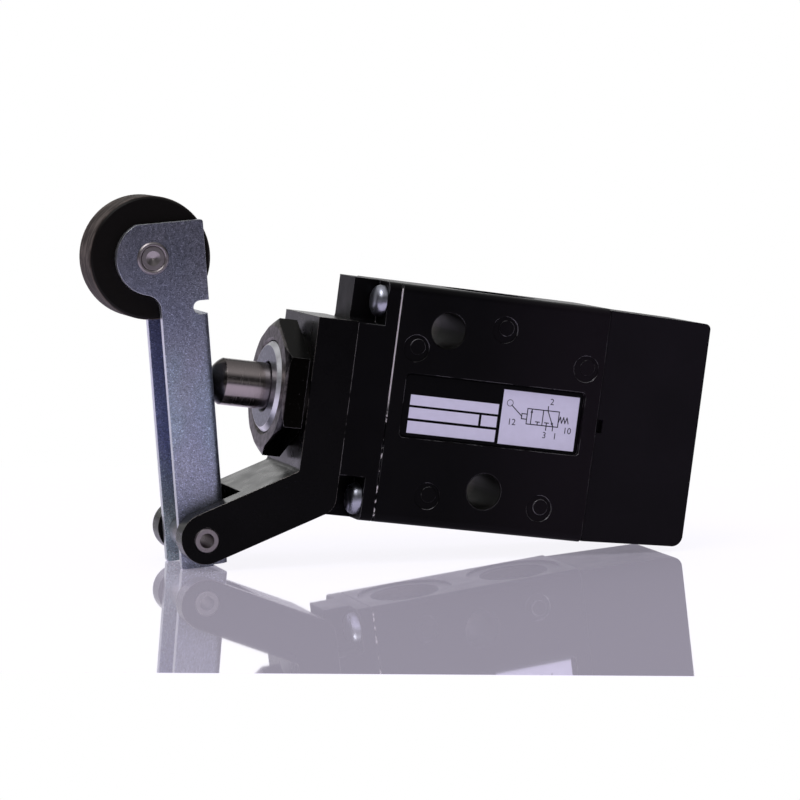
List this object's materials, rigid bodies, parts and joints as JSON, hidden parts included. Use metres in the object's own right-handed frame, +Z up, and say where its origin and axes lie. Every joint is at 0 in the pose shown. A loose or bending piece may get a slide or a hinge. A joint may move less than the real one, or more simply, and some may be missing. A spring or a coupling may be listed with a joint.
{
  "type": "roller lever air valve",
  "caption": "Inline pneumatic spool valve with flat body, threaded ports, forked bracket and a sprung roller lever that presses its plunger.",
  "frame": {"origin": "the middle of the upper mounting hole, halfway through the body", "axes": "+X along the spool axis towards the end cap, +Z up the body's height towards the roller end of the lever, -Y out of the label face"},
  "size_m": [0.1245, 0.023, 0.0693],
  "materials": {
    "body_black": "satin black coating on die-cast metal",
    "label_black": "black anodised sheet",
    "cover_black": "satin black coating",
    "cap_plastic": "moulded black nylon",
    "bracket_black": "black oxide",
    "nut_black": "glossy black oxide",
    "washer_black": "black oxide",
    "boss_steel": "turned",
    "screw_zinc": "zinc plated",
    "pin_steel": "bright drawn tube",
    "axle_steel": "zinc plated rivet",
    "spacer_steel": "turned",
    "lever_zinc": "bright zinc plated sheet",
    "roller_black": "moulded black plastic",
    "plunger_steel": "ground",
    "spool_aluminium": "ground",
    "seat_plastic": "natural acetal",
    "cage_plastic": "glass filled nylon",
    "spring_steel": "spring wire",
    "bush_bronze": "sintered bronze",
    "seal_rubber": "nitrile"
  },
  "bodies": {
    "housing": {"valve_body": "body_black", "label_plate": "label_black", "head_housing": "cover_black", "head_screws": "screw_zinc", "threaded_boss": "boss_steel", "plunger_wiper": "seal_rubber", "plunger_bush": "bush_bronze", "mounting_bracket": "bracket_black", "panel_washer": "washer_black", "panel_nut": "nut_black", "pivot_pin": "pin_steel", "front_guide": "cage_plastic", "seal_cages": "cage_plastic", "bore_seals": "seal_rubber", "cartridge_retainer": "bush_bronze", "end_cap": "cap_plastic", "return_spring": "spring_steel"},
    "lever_arm": {"lever": "lever_zinc", "pivot_spacer": "spacer_steel", "roller_axle": "axle_steel"},
    "roller_wheel": {"roller": "roller_black"},
    "operator": {"plunger": "plunger_steel", "spool": "spool_aluminium", "spring_seat": "seat_plastic"}
  },
  "joints": [
    {"name": "lever_pivot", "type": "hinge", "parent": "housing", "child": "lever_arm", "pos_m": [-0.0424, 0, -0.0446], "axis": [0, 1, 0], "range_deg": [0, 9.5], "stiffness_Nm_per_rad": 2.5, "springref_deg": -13.75},
    {"name": "plunger_slide", "type": "slide", "parent": "housing", "child": "operator", "axis": [1, 0, 0], "range_m": [0, 0.0048], "deforming": ["return_spring"]},
    {"name": "roller_spin", "type": "hinge", "parent": "lever_arm", "child": "roller_wheel", "pos_m": [-0.05848, 0, 0.00677], "axis": [0, 1, 0], "continuous": true}
  ],
  "couplings": [
    {"joint": "plunger_slide", "follows": "lever_pivot", "m_per_rad": 0.0288}
  ]
}
